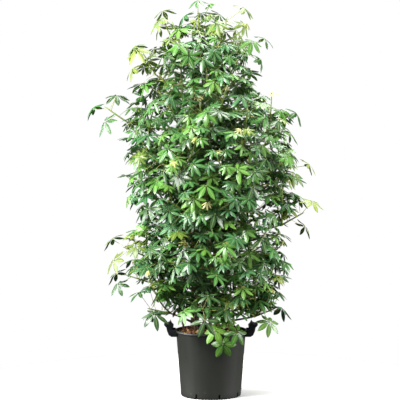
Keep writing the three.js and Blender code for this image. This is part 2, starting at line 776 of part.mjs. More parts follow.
function buildPlant() {
  STEMS.forEach(startStem);
  const shoots = [];
  const begin = (details) => {
    const shoot = { name: `shoot_${String(shoots.length + 1).padStart(2, '0')}`, ...details };
    shapeShoot(shoot);
    return shoot;
  };
  for (const stem of STEMS) {
    shoots.push(begin({ end: stem.curve.getPoint(1), aim: stem.curve.getTangent(1) }));
  }
  shoots.forEach(startShoot);
  for (const place of [{ ...HANGING_SHOOT, hangs: true }, ...LONG_SHOOTS]) {
    const end = new THREE.Vector3(...place.end);
    const aim = new THREE.Vector3(...place.aim).normalize();
    const shoot = begin({ ...place, end, aim, long: true });
    if (!isShootClear(shoot) || !growBranch(shoot)) {
      throw new Error(`no clear way to the shoot at ${place.end}`);
    }
    startShoot(shoot);
    shoots.push(shoot);
  }
  for (let tries = 0; shoots.length < SHOOT_COUNT && tries < 200; tries += 1) {
    const shoot = begin(crownPlace(shoots.map(({ end }) => end)));
    if (isShootClear(shoot) && growBranch(shoot)) {
      startShoot(shoot);
      shoots.push(shoot);
    }
  }
  shoots.filter(({ hangs }) => hangs).forEach(growHangingLeaves);
  for (let i = 0; i < LEAVES_PER_SHOOT; i += 1) {
    shoots.filter(({ hangs }) => !hangs).forEach((shoot) => growLeaf(shoot, i === 0));
  }
  STEMS.forEach((stem) => addPiece(stem.name, geometryOf(stem.wood), MATERIALS.wood));
  shoots.forEach(finishShoot);
}

buildPot();
buildHandle('handle_left', 180);
buildHandle('handle_right', 0);
buildPole();
buildPlant();
buildBark();

export default plant;
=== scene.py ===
import math
import random

import bmesh
import bpy
import numpy as np
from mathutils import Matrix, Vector, noise


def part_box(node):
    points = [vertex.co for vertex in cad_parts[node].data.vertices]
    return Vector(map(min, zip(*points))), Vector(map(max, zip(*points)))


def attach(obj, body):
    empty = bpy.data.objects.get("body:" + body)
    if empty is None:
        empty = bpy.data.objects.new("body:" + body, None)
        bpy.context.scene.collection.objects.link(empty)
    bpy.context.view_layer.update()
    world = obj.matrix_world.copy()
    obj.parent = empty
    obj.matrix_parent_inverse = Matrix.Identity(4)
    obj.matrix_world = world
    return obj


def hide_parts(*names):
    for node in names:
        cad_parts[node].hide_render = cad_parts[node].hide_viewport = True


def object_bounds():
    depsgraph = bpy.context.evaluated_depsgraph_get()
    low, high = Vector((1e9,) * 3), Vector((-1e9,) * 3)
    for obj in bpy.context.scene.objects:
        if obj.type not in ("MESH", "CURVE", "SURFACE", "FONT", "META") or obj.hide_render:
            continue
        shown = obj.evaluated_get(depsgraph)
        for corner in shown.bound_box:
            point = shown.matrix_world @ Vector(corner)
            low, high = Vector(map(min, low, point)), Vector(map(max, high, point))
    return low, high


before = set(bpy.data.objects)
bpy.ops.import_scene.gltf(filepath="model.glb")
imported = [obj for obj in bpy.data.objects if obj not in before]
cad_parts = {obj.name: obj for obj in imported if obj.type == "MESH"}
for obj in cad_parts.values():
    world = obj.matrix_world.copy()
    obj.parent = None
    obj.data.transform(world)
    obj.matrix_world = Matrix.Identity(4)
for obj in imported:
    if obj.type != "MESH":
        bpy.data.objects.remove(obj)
cad_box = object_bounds()
bpy.ops.object.select_all(action="DESELECT")

# Studio. The plant stands on a pale round floor before white paper, as in a nursery's catalogue. The
# strongest softbox is at the front left, the others above and on both sides, and a long lens looks a
# little downwards.
PIXEL = 0.00496
PHOTO_SIDE = 400
AXIS_COLUMN = 211
CAMERA_AWAY = 9.5
CAMERA_HEIGHT = 1.68
CAMERA_REACH = 100
AIM_HEIGHT = 0.977
SENSOR = 36.0
FLOOR_RADIUS = 1.35
ROOM_LIGHT = 0.08
LIT_HEIGHT = 1.0
SOFTBOXES = [
    # place, size in metres, watts
    ((-2.6, -2.9, 4.2), 1.7, 640),
    ((0.9, 1.4, 4.6), 2.4, 240),
    ((4.2, -0.6, 1.5), 2.4, 320),
    ((-4.2, -0.2, 1.5), 2.4, 290),
]


def linear(colour):
    """An sRGB hex colour as linear red, green, blue and alpha."""
    parts = [int(colour[i:i + 2], 16) / 255 for i in (1, 3, 5)]
    return tuple(p / 12.92 if p <= 0.04045 else ((p + 0.055) / 1.055) ** 2.4 for p in parts) + (1.0,)


def connect(tree, node, inputs):
    """Sets inputs of a node, each to a value or to another node's output.

    A Map Range node's inputs 1 to 4 are the range that it reads and the range that it gives.
    """
    for name, value in inputs.items():
        if isinstance(value, bpy.types.NodeSocket):
            tree.links.new(value, node.inputs[name])
        else:
            node.inputs[name].default_value = value


def add(tree, kind, inputs=None, **settings):
    """Adds a shader node with its settings and inputs."""
    made = tree.nodes.new("ShaderNode" + kind)
    for name, value in settings.items():
        setattr(made, name, value)
    connect(tree, made, inputs or {})
    return made


def new_material(name, inputs):
    """A material with one Principled shader, given its plain values, and its tree and shader."""
    material = bpy.data.materials.new(name)
    material.use_nodes = True
    tree = material.node_tree
    shader = tree.nodes["Principled BSDF"]
    connect(tree, shader, inputs)
    return material, tree, shader


def facing(place, point):
    """How a camera or a lamp at a place is turned to look at a point."""
    return (point - place).to_track_quat("-Z", "Y").to_euler()


# White-painted board: matt, so it shows only the plant's soft shadow; its bounce is kept off the plant
board_paint, _, _ = new_material("matt white board paint", {
    "Base Color": linear("#dededc"), "Roughness": 0.9})
bpy.ops.mesh.primitive_circle_add(vertices=96, radius=FLOOR_RADIUS, fill_type="NGON", location=(0, 0, 0))
floor = bpy.context.object
floor.name = "studio_floor"
floor.data.materials.append(board_paint)
floor.visible_diffuse = False
floor.visible_glossy = False
bpy.ops.object.select_all(action="DESELECT")

# Seamless white paper, lit on its own: the camera sees it pure white, the plant gets only its spill
room = bpy.data.worlds.new("seamless white paper")
bpy.context.scene.world = room
room.use_nodes = True
tree = room.node_tree
paper = add(tree, "Background", {"Color": linear("#ffffff"), "Strength": 1.0})
spill = add(tree, "Background", {"Color": linear("#fffdf6"), "Strength": ROOM_LIGHT})
ray = add(tree, "LightPath")
seen = add(tree, "MixShader", {0: ray.outputs["Is Camera Ray"], 1: spill.outputs[0], 2: paper.outputs[0]})
connect(tree, tree.nodes["World Output"], {"Surface": seen.outputs[0]})
bpy.context.scene.view_settings.view_transform = "Standard"

aim = Vector(((PHOTO_SIDE / 2 - AXIS_COLUMN) * PIXEL, 0, AIM_HEIGHT))
lens_data = bpy.data.cameras.new("camera")
camera = bpy.data.objects.new("camera", lens_data)
bpy.context.scene.collection.objects.link(camera)
camera.location = (aim.x, -CAMERA_AWAY, CAMERA_HEIGHT)
camera.rotation_euler = facing(camera.location, aim)
lens_data.sensor_width = SENSOR
lens_data.lens = SENSOR * (aim - camera.location).length / (PHOTO_SIDE * PIXEL)
lens_data.clip_end = CAMERA_REACH
bpy.context.scene.camera = camera

for number, (place, size, watts) in enumerate(SOFTBOXES):
    softbox = bpy.data.lights.new(f"softbox_{number + 1}", "AREA")
    softbox.shape = "SQUARE"
    softbox.size = size
    softbox.energy = watts
    lamp = bpy.data.objects.new(softbox.name, softbox)
    lamp.location = place
    lamp.rotation_euler = facing(Vector(place), Vector((0, 0, LIT_HEIGHT)))
    bpy.context.scene.collection.objects.link(lamp)

# Pot. One injection-moulded shell of recycled black polypropylene with a lip and drain slots
# cut through the corner between its wall and its floor. It stands on its flat base.
POT_FOOT_RADIUS = 0.150
POT_TOP_RADIUS = 0.174
POT_WALL = 0.003
POT_FLOOR = 0.004
POT_CORNER = 0.008
POT_EDGE = 0.0005
POT_SIDES = 128
POT_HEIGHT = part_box("pot")[1].z
LIP_RADIUS = (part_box("pot")[1].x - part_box("pot")[0].x) / 2
LIP_DROP = 0.010
LIP_ROUND = 0.0022
LIP_SHOULDER = 0.0006
LIP_INNER_EDGE = 0.001
SLOTS = 8
FIRST_SLOT = math.radians(-164)
SLOT_WIDTH = 0.010
SLOT_TOP = 0.025
SLOT_CUT_LENGTH = 0.064
SLOT_CUT_MIDDLE = POT_FOOT_RADIUS + 0.016
RINGS_ABOVE_SLOTS = (0.003, 0.012)
AXIS_RADIUS = 0.00002
AXIS_CLOSING = 0.0002


def choose(piece):
    """Makes a piece the only selected one and the active one."""
    bpy.ops.object.select_all(action="DESELECT")
    piece.select_set(True)
    bpy.context.view_layer.objects.active = piece


def finish_with(piece, kind, **settings):
    """Adds a modifier to a piece and applies it."""
    choose(piece)
    modifier = piece.modifiers.new(kind.lower(), kind)
    for name, value in settings.items():
        setattr(modifier, name, value)
    bpy.ops.object.modifier_apply(modifier=modifier.name)


def smooth(piece, degrees=35):
    """Shades a piece smooth, apart from its edges sharper than an angle."""
    choose(piece)
    bpy.ops.object.shade_smooth_by_angle(angle=math.radians(degrees))
    bpy.ops.object.select_all(action="DESELECT")


def turned_from(outline, sides):
    """A circle extruded ring by ring along an outline of (radius, height), closed on the axis."""
    radius, height = outline[0]
    bpy.ops.mesh.primitive_circle_add(vertices=sides, radius=radius, location=(0, 0, height))
    turned = bpy.context.object
    bpy.ops.object.transform_apply(location=True)
    bpy.ops.object.mode_set(mode="EDIT")
    bpy.ops.mesh.select_all(action="SELECT")
    for next_radius, next_height in outline[1:]:
        bpy.ops.mesh.extrude_region_move(TRANSFORM_OT_translate={"value": (0, 0, next_height - height)})
        share = next_radius / radius
        bpy.ops.transform.resize(value=(share, share, 1), center_override=(0, 0, next_height))
        radius, height = next_radius, next_height
    bpy.ops.mesh.select_all(action="SELECT")
    bpy.ops.mesh.remove_doubles(threshold=AXIS_CLOSING)
    bpy.ops.mesh.normals_make_consistent(inside=False)
    bpy.ops.object.mode_set(mode="OBJECT")
    return turned


def pot_outline():
    """Up the outside from the middle of the base, over the lip and down the inside."""
    corner = [(POT_FOOT_RADIUS - POT_CORNER * (1 - math.sin(a)), POT_CORNER * (1 - math.cos(a)))
              for a in (0, 0.4, 0.8, 1.2, math.pi / 2)]
    under_lip = POT_HEIGHT - LIP_DROP
    slope = (POT_TOP_RADIUS - LIP_SHOULDER - POT_FOOT_RADIUS) / (under_lip - POT_CORNER)
    above_slots = [SLOT_TOP + rise for rise in RINGS_ABOVE_SLOTS]
    wall = [(POT_FOOT_RADIUS + slope * (z - POT_CORNER), z) for z in above_slots]
    lip = [
        (POT_TOP_RADIUS - LIP_SHOULDER, under_lip),
        (LIP_RADIUS - LIP_ROUND / 2, under_lip),
        (LIP_RADIUS, under_lip + LIP_ROUND / 2),
        (LIP_RADIUS, POT_HEIGHT - LIP_ROUND),
        (LIP_RADIUS - 0.3 * LIP_ROUND, POT_HEIGHT - 0.3 * LIP_ROUND),
        (LIP_RADIUS - LIP_ROUND, POT_HEIGHT),
        (POT_TOP_RADIUS - POT_WALL + LIP_INNER_EDGE, POT_HEIGHT),
        (POT_TOP_RADIUS - POT_WALL, POT_HEIGHT - LIP_INNER_EDGE),
    ]
    inner_wall = [(radius - POT_WALL, z) for radius, z in reversed(wall)]
    inner = POT_FOOT_RADIUS - POT_WALL
    inner_corner = [(inner, POT_FLOOR + POT_CORNER), (inner - POT_CORNER, POT_FLOOR)]
    return [(AXIS_RADIUS, 0), *corner, *wall, *lip, *inner_wall, *inner_corner, (AXIS_RADIUS, POT_FLOOR)]


pot = turned_from(pot_outline(), POT_SIDES)
pot.name = "nursery_pot"
bpy.ops.object.select_all(action="DESELECT")
cutters = []
for i in range(SLOTS):
    bpy.ops.mesh.primitive_cube_add(size=1, location=(SLOT_CUT_MIDDLE, 0, 0))
    cutter = bpy.context.object
    cutter.scale = (SLOT_CUT_LENGTH, SLOT_WIDTH, 2 * SLOT_TOP)
    bpy.ops.object.transform_apply(location=True, scale=True)
    cutter.rotation_euler.z = FIRST_SLOT + i * 2 * math.pi / SLOTS
    bpy.ops.object.transform_apply(rotation=True)
    cutters.append(cutter)
choose(cutters[0])
for cutter in cutters[1:]:
    cutter.select_set(True)
bpy.ops.object.join()
slot_cutter = bpy.context.object
finish_with(pot, "BOOLEAN", object=slot_cutter, operation="DIFFERENCE", solver="EXACT")
bpy.data.objects.remove(slot_cutter)
finish_with(pot, "BEVEL", width=POT_EDGE, segments=2, limit_method="ANGLE", angle_limit=math.radians(50))
smooth(pot)


def moulded_grain(tree, shader, place):
    """The spark-eroded mould's fine grain, drawn about 1 mm wide, coarser than real, so that it shows."""
    grain = add(tree, "TexNoise", {"Vector": place, "Scale": 900.0, "Detail": 2.0})
    bump = add(tree, "Bump", {"Height": grain.outputs["Fac"], "Strength": 0.12, "Distance": 0.0004})
    connect(tree, shader, {"Normal": bump.outputs[0]})


# Polypropylene regrind, moulded: charcoal rather than black, with a low even gloss, faint flow
# streaks 40 mm wide up the wall and pale scuffs near its foot, where it has been dragged
polypropylene, tree, shader = new_material("moulded polypropylene", {"IOR": 1.49, "Roughness": 0.46})
place = add(tree, "TexCoord").outputs["Object"]
streak_place = add(tree, "Mapping", {"Vector": place, "Scale": (26, 26, 2.2)})
streaks = add(tree, "TexNoise", {"Vector": streak_place.outputs[0], "Scale": 1.0, "Detail": 3.0})
scuffs = add(tree, "TexNoise", {"Vector": place, "Scale": 34.0, "Detail": 8.0, "Roughness": 0.7})
heights = add(tree, "SeparateXYZ", {"Vector": place})
low_down = add(tree, "MapRange", {"Value": heights.outputs["Z"], 1: 0.0, 2: 0.05, 3: 1.0, 4: 0.0})
scuffed = add(tree, "MapRange", {"Value": scuffs.outputs["Fac"], 1: 0.58, 2: 0.72, 3: 0.0, 4: 0.55})
wear = add(tree, "Math", {0: scuffed.outputs[0], 1: low_down.outputs[0]}, operation="MULTIPLY")
wall = add(tree, "Mix", {
    "Factor": streaks.outputs["Fac"], "A": linear("#282a26"), "B": linear("#2f312c")}, data_type="RGBA")
worn = add(tree, "Mix", {
    "Factor": wear.outputs[0], "A": wall.outputs["Result"], "B": linear("#a39c8c")}, data_type="RGBA")
gloss = add(tree, "MapRange", {"Value": streaks.outputs["Fac"], 1: 0.3, 2: 0.7, 3: 0.42, 4: 0.46})
connect(tree, shader, {"Base Color": worn.outputs["Result"], "Roughness": gloss.outputs[0]})
moulded_grain(tree, shader, place)
pot.data.materials.append(polypropylene)
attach(pot, "root")
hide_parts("pot")

# Carrying handles. Two black moulded grips snap in under the pot's lip, one on each side; each is
# a saddle against the wall, two arms that rise past the lip and a curled bar for the fingers.
HANDLE_EDGE = 0.0011
HANDLE_FLAT = math.radians(2)
HANDLE_CREASE = math.radians(28)
SAME_POINT = 0.000002


def merged_copy(node, name):
    """A CAD node's mesh as a piece of its own, with its loose triangles joined."""
    copy = bpy.data.objects.new(name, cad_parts[node].data.copy())
    bpy.context.scene.collection.objects.link(copy)
    copy.data.materials.clear()
    choose(copy)
    bpy.ops.object.mode_set(mode="EDIT")
    bpy.ops.mesh.select_all(action="SELECT")
    bpy.ops.mesh.remove_doubles(threshold=SAME_POINT)
    bpy.ops.object.mode_set(mode="OBJECT")
    return copy


# The same polymer with more carbon black: darker than the pot, and polished where hands hold it
handle_black, tree, shader = new_material("moulded carbon-black polypropylene", {
    "IOR": 1.49, "Roughness": 0.42})
place = add(tree, "TexCoord").outputs["Object"]
cloud = add(tree, "TexNoise", {"Vector": place, "Scale": 60.0, "Detail": 4.0})
tone = add(tree, "Mix", {
    "Factor": cloud.outputs["Fac"], "A": linear("#101315"), "B": linear("#20252a")}, data_type="RGBA")
rub = add(tree, "MapRange", {"Value": cloud.outputs["Fac"], 1: 0.3, 2: 0.7, 3: 0.34, 4: 0.52})
connect(tree, shader, {"Base Color": tone.outputs["Result"], "Roughness": rub.outputs[0]})
moulded_grain(tree, shader, place)
for node in ("handle_left", "handle_right"):
    handle = merged_copy(node, f"{node}_moulding")
    bpy.ops.object.mode_set(mode="EDIT")
    bpy.ops.mesh.select_all(action="SELECT")
    bpy.ops.mesh.dissolve_limited(angle_limit=HANDLE_FLAT)
    bpy.ops.object.mode_set(mode="OBJECT")
    finish_with(handle, "BEVEL", width=HANDLE_EDGE, segments=3, limit_method="ANGLE",
                angle_limit=HANDLE_CREASE)
    smooth(handle, 40)
    handle.data.materials.append(handle_black)
    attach(handle, "root")
    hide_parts(node)

# Bark. Graded chips of pine bark fill the pot to its rim in a low heap round the stems. They lie
# loose over a bed of fines, which shows only in the gaps between them and in the drain slots.
BED_SIDE = [(AXIS_RADIUS, 0.005), (0.134, 0.005), (0.1445, 0.016), (0.1565, 0.150), (0.1675, 0.300)]
BED_TOP = [(0.1680, 0.309), (0.150, 0.314), (0.110, 0.321), (0.070, 0.326), (AXIS_RADIUS, 0.329)]
BED_RADIUS = 0.168
BED_SIDES = 64
BED_ROUGH_ABOVE = 0.312
BED_ROUGHNESS = 0.002
CHIPS = 700
CHIP_SHAPES = 6
CHIP_LENGTH = (0.014, 0.034)
CHIP_BREADTH = (0.42, 0.7)
CHIP_THICKNESS = (0.004, 0.009)
CHIP_SEED = 11
CHIP_COLOURS = ["#5d3a22", "#7a4f2e", "#8f6138", "#a97b4c", "#bd9462", "#6b452a", "#4a3020"]
TOP_CHIP = (0.5, 0.85)  # how far it tilts, and its lift over the bed in its own thicknesses
LOW_CHIP = (0.3, 0.2)
GOLDEN_ANGLE = 2.39996
WHOLE_TURN = 6.28
chance = random.Random(CHIP_SEED)


def bed_height(radius):
    """The height of the bed's top at a distance from the pot's axis."""
    radii, heights = zip(*reversed(BED_TOP))
    return float(np.interp(radius, radii, heights))


def joined(parts):
    """The points, triangles and tints of one mesh that has many parts, each with one tint."""
    starts = np.cumsum([0] + [len(points) for points, _, _ in parts])
    return (np.vstack([points for points, _, _ in parts]),
            np.vstack([triangles + start for (_, triangles, _), start in zip(parts, starts)]),
            np.vstack([np.tile(tint, (len(points), 1)) for points, _, tint in parts]))


def piece_from(name, material, points, triangles, tints, undersides=None, uvs=None):
    """One mesh from its points and triangles, with a tint and maybe an underside mark and a UV a point."""
    mesh = bpy.data.meshes.new(name)
    mesh.vertices.add(len(points))
    mesh.vertices.foreach_set("co", np.ascontiguousarray(points, dtype=np.float32).ravel())
    mesh.loops.add(3 * len(triangles))
    mesh.loops.foreach_set("vertex_index", np.ascontiguousarray(triangles, dtype=np.int32).ravel())
    mesh.polygons.add(len(triangles))
    mesh.polygons.foreach_set("loop_start", np.arange(0, 3 * len(triangles), 3, dtype=np.int32))
    mesh.update(calc_edges=True)
    colour = mesh.attributes.new("Tint", "FLOAT_COLOR", "POINT")
    colour.data.foreach_set("color", np.ascontiguousarray(tints, dtype=np.float32).ravel())
    if undersides is not None:
        mark = mesh.attributes.new("Underside", "FLOAT", "POINT")
        mark.data.foreach_set("value", np.ascontiguousarray(undersides, dtype=np.float32))
    if uvs is not None:
        layer = mesh.uv_layers.new(name="UVMap")
        corners = np.asarray(uvs, dtype=np.float32)[np.asarray(triangles).ravel()]
        layer.data.foreach_set("uv", corners.ravel())
    piece = bpy.data.objects.new(name, mesh)
    bpy.context.scene.collection.objects.link(piece)
    piece.data.materials.append(material)
    return piece


def mesh_arrays(piece):
    """The points and triangles of a piece as arrays, for copying it many times over."""
    mesh = piece.data
    mesh.calc_loop_triangles()
    points = np.empty(3 * len(mesh.vertices), dtype=np.float32)
    mesh.vertices.foreach_get("co", points)
    triangles = np.empty(3 * len(mesh.loop_triangles), dtype=np.int32)
    mesh.loop_triangles.foreach_get("vertices", triangles)
    return points.reshape(-1, 3).astype(float), triangles.reshape(-1, 3)


def turn(yaw, pitch, roll):
    """A rotation matrix: a roll about X, then a pitch about Y, then a yaw about Z."""
    cy, sy, cp, sp = math.cos(yaw), math.sin(yaw), math.cos(pitch), math.sin(pitch)
    cr, sr = math.cos(roll), math.sin(roll)
    about_z = np.array([[cy, -sy, 0], [sy, cy, 0], [0, 0, 1]])
    about_y = np.array([[cp, 0, sp], [0, 1, 0], [-sp, 0, cp]])
    about_x = np.array([[1, 0, 0], [0, cr, -sr], [0, sr, cr]])
    return about_z @ about_y @ about_x


# The noise that dents the chips is seeded too, because its own seed is the clock
noise.seed_set(CHIP_SEED)
chip_shapes = []
for number in range(CHIP_SHAPES):
    bpy.ops.mesh.primitive_cube_add(size=1)
    chip = bpy.context.object
    finish_with(chip, "BEVEL", width=0.16, segments=1)
    points, triangles = mesh_arrays(chip)
    for point in points:
        push = noise.noise_vector(Vector(point) * 1.7 + Vector((9.1 * number, 0, 0)))
        point += np.array(push) * 0.3
    points[:, 2] += 0.25 * np.sin(2.6 * points[:, 0] + number)
    chip_shapes.append((points, triangles))
    bpy.data.objects.remove(chip)

laid_chips = []
for number in range(CHIPS):
    shape, triangles = chip_shapes[number % CHIP_SHAPES]
    tilt, lift = TOP_CHIP if number % 3 == 0 else LOW_CHIP
    length = chance.uniform(*CHIP_LENGTH)
    width = length * chance.uniform(*CHIP_BREADTH)
    thick = chance.uniform(*CHIP_THICKNESS)
    out = (BED_RADIUS - 0.45 * length) * math.sqrt((number + 0.5) / CHIPS)
    around = number * GOLDEN_ANGLE + chance.uniform(-0.1, 0.1)
    pitch, roll = chance.gauss(0, tilt), chance.gauss(0, tilt)
    height = bed_height(out) + thick * lift + 0.3 * length * abs(math.sin(pitch))
    placed = (shape * (length, width, thick)) @ turn(chance.uniform(0, WHOLE_TURN), pitch, roll).T
    placed += (out * math.cos(around), out * math.sin(around), height)
    laid_chips.append((placed, triangles, linear(chance.choice(CHIP_COLOURS))))

# Pine bark, dry on top: red-brown to straw-coloured and matt, with cork layers of 1 to 6 mm
pine_bark, tree, shader = new_material("dry pine bark", {"Roughness": 0.88})
tint = add(tree, "Attribute", attribute_name="Tint")
place = add(tree, "TexCoord").outputs["Object"]
layers_place = add(tree, "Mapping", {"Vector": place, "Scale": (420, 160, 700)})
layers = add(tree, "TexNoise", {"Vector": layers_place.outputs[0], "Scale": 1.0, "Detail": 5.0})
blotch = add(tree, "TexNoise", {"Vector": place, "Scale": 60.0, "Detail": 3.0})
shade = add(tree, "MapRange", {"Value": layers.outputs["Fac"], 1: 0.3, 2: 0.7, 3: 0.55, 4: 1.25})
soften = add(tree, "MapRange", {"Value": blotch.outputs["Fac"], 1: 0.3, 2: 0.7, 3: 0.75, 4: 1.15})
depth = add(tree, "Math", {0: shade.outputs[0], 1: soften.outputs[0]}, operation="MULTIPLY")
bark_colour = add(tree, "VectorMath", {
    0: tint.outputs["Color"], "Scale": depth.outputs[0]}, operation="SCALE")
bump = add(tree, "Bump", {"Height": layers.outputs["Fac"], "Strength": 0.6, "Distance": 0.0012})
connect(tree, shader, {"Base Color": bark_colour.outputs[0], "Normal": bump.outputs[0]})

chips = piece_from("bark_chips", pine_bark, *joined(laid_chips))
bed = turned_from(BED_SIDE + BED_TOP, BED_SIDES)
bed.name = "bark_fines"
for vertex in bed.data.vertices:
    if vertex.co.z > BED_ROUGH_ABOVE:
        vertex.co.z += BED_ROUGHNESS * noise.noise(vertex.co * 60)
colour = bed.data.attributes.new("Tint", "FLOAT_COLOR", "POINT")
colour.data.foreach_set("color", np.tile(linear("#3f2a1b"), len(bed.data.vertices)).astype(np.float32))
bed.data.materials.append(pine_bark)
smooth(bed, 60)
for piece in (bed, chips):
    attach(piece, "root")
    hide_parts("bark")

# Coir pole. A stake wrapped in matted coconut fibre and bound with two spirals of twine. It
# stands in the pot behind the middle stems, with its foot in the bark.
POLE_PLACE = (-0.080, 0.015)
POLE_RADIUS = 0.0205
POLE_FOOT = 0.014
POLE_TOP = 1.558
POLE_RINGS = 230
POLE_SIDES = 40
MAT_COLOUR = "#7d5a38"
FIBRES = 900
FIBRE_RADII = (0.0002, 0.0003, 0.0003, 0.00012)
FIBRE_COLOURS = ["#8e693f", "#a37c4d", "#6a4a2d", "#b58f5e"]
OVER_BARK = 0.34
TWINE_PITCH = 0.085
TWINE_RADIUS = 0.0009
TWINE_BITE = 0.0016
TWINE_SINK = 0.0006
TWINE_SPARE = 0.005
TWINE_STEPS = 16
TWINE_COLOUR = "#3d3a30"


def unit(vector):
    """The vector at length one."""
    return vector / np.linalg.norm(vector)


def tube(line, radii, sides):
    """Points and triangles of a closed round tube along a line, with a radius at each of its points."""
    line = np.asarray(line, dtype=float)
    steps = np.gradient(line, axis=0)
    steps /= np.linalg.norm(steps, axis=1, keepdims=True)
    across = unit(np.cross(steps[0], (0.31, 0.17, 0.93) if abs(steps[0][2]) < 0.8 else (1, 0.2, 0)))
    points = []
    angles = np.arange(sides) * 2 * math.pi / sides
    for centre, step, radius in zip(line, steps, radii):
        across = unit(across - step * np.dot(across, step))
        other = np.cross(step, across)
        points.append(centre + radius * (np.outer(np.cos(angles), across) + np.outer(np.sin(angles), other)))
    rings = np.arange(len(line) - 1)[:, None] * sides
    here = rings + np.arange(sides)
    there = rings + (np.arange(sides) + 1) % sides
    walls = np.stack([here, there, there + sides, here, there + sides, here + sides], axis=-1).reshape(-1, 3)
    first = [(0, j + 1, j) for j in range(1, sides - 1)]
    last = (len(line) - 1) * sides
    final = [(last, last + j, last + j + 1) for j in range(1, sides - 1)]
    return np.vstack(points), np.vstack([walls, first, final])


def round_pole(radius, angle, height):
    """A point at a distance from the pole's axis, at an angle and a height."""
    return POLE_PLACE[0] + radius * math.cos(angle), POLE_PLACE[1] + radius * math.sin(angle), height


core = [(*POLE_PLACE, z) for z in np.linspace(POLE_FOOT, POLE_TOP, POLE_RINGS)]
mat_points, mat_triangles = tube(core, np.full(POLE_RINGS, POLE_RADIUS), POLE_SIDES)
centre = np.array((*POLE_PLACE, 0))
for point in mat_points:
    outward = unit((point - centre) * (1, 1, 0))
    place = Vector(point)
    lumps = noise.noise(place * 38) * 0.0022 + noise.noise(place * 160) * 0.0012
    bound = abs(((point[2] / TWINE_PITCH + math.atan2(outward[1], outward[0]) / (2 * math.pi)) % 1) - 0.5)
    point += outward * (lumps - TWINE_BITE * max(0, bound - 0.38) / 0.12)
pole_parts = [(mat_points, mat_triangles, linear(MAT_COLOUR))]
for number in range(FIBRES):
    around = chance.uniform(0, 2 * math.pi)
    up = chance.uniform(OVER_BARK, POLE_TOP - 0.01)
    slant = chance.uniform(-1.2, 1.2)
    reach = chance.uniform(0.012, 0.03)
    stand = chance.uniform(0.0004, 0.0026)
    line = []
    for share in (0, 0.33, 0.67, 1):
        radius = POLE_RADIUS + 0.0002 + stand * math.sin(math.pi * share) + 0.0006 * share
        line.append(round_pole(radius, around + slant * share, up + reach * (share - 0.5)))
    pole_parts.append((*tube(line, FIBRE_RADII, 3), linear(chance.choice(FIBRE_COLOURS))))
turns = (POLE_TOP - OVER_BARK - TWINE_SPARE) / TWINE_PITCH
for start in (0, math.pi):
    line = [round_pole(POLE_RADIUS + TWINE_RADIUS - TWINE_SINK,
                       -(start + 2 * math.pi * step / TWINE_STEPS),
                       OVER_BARK + TWINE_PITCH * step / TWINE_STEPS)
            for step in range(int(turns * TWINE_STEPS))]
    pole_parts.append((*tube(line, np.full(len(line), TWINE_RADIUS), 5), linear(TWINE_COLOUR)))

# Coconut fibre: matt, springy and red-brown, with strands drawn 1 mm thick, coarser than real, to show
coir, tree, shader = new_material("coconut fibre", {"Roughness": 0.95, "Sheen Weight": 0.25})
tint = add(tree, "Attribute", attribute_name="Tint")
place = add(tree, "TexCoord").outputs["Object"]
strand_place = add(tree, "Mapping", {"Vector": place, "Scale": (900, 900, 190)})
strands = add(tree, "TexNoise", {"Vector": strand_place.outputs[0], "Scale": 1.0, "Detail": 6.0})
shade = add(tree, "MapRange", {"Value": strands.outputs["Fac"], 1: 0.32, 2: 0.68, 3: 0.35, 4: 1.45})
coir_colour = add(tree, "VectorMath", {
    0: tint.outputs["Color"], "Scale": shade.outputs[0]}, operation="SCALE")
bump = add(tree, "Bump", {"Height": strands.outputs["Fac"], "Strength": 0.8, "Distance": 0.0015})
connect(tree, shader, {"Base Color": coir_colour.outputs[0], "Normal": bump.outputs[0]})
pole = piece_from("coir_pole", coir, *joined(pole_parts))
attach(pole, "root")
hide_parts("moss_pole")

# Stems. Seven woody stems stand in the bark, brown below and greener towards their tips, and
# their side branches leave them at a narrow angle to carry the leafy shoots.
STEMS = 7
STEM_SWELL = 0.0009

# Young schefflera bark: smooth, thin and grey-brown over green, dotted with pale breathing pores
# about 5 mm apart
stem_bark, tree, shader = new_material("smooth young bark", {"Roughness": 0.62})
place = add(tree, "TexCoord").outputs["Object"]
heights = add(tree, "SeparateXYZ", {"Vector": place})
age = add(tree, "MapRange", {"Value": heights.outputs["Z"], 1: 0.32, 2: 1.5, 3: 0.0, 4: 1.0})
mottle = add(tree, "TexNoise", {"Vector": place, "Scale": 45.0, "Detail": 5.0})
pore_place = add(tree, "Mapping", {"Vector": place, "Scale": (1.0, 1.0, 0.6)})
pores = add(tree, "TexVoronoi", {"Vector": pore_place.outputs[0], "Scale": 210.0})
dots = add(tree, "MapRange", {"Value": pores.outputs["Distance"], 1: 0.1, 2: 0.2, 3: 0.5, 4: 0.0})
old_bark = add(tree, "Mix", {
    "Factor": mottle.outputs["Fac"], "A": linear("#4b3b29"), "B": linear("#7a6a4d")}, data_type="RGBA")
new_bark = add(tree, "Mix", {
    "Factor": mottle.outputs["Fac"], "A": linear("#5d6a35"), "B": linear("#8c8a55")}, data_type="RGBA")
aged = add(tree, "Mix", {
    "Factor": age.outputs[0], "A": old_bark.outputs["Result"],
    "B": new_bark.outputs["Result"]}, data_type="RGBA")
dotted = add(tree, "Mix", {
    "Factor": dots.outputs[0], "A": aged.outputs["Result"], "B": linear("#b5a987")}, data_type="RGBA")
bump = add(tree, "Bump", {"Height": mottle.outputs["Fac"], "Strength": 0.35, "Distance": 0.001})
connect(tree, shader, {"Base Color": dotted.outputs["Result"], "Normal": bump.outputs[0]})

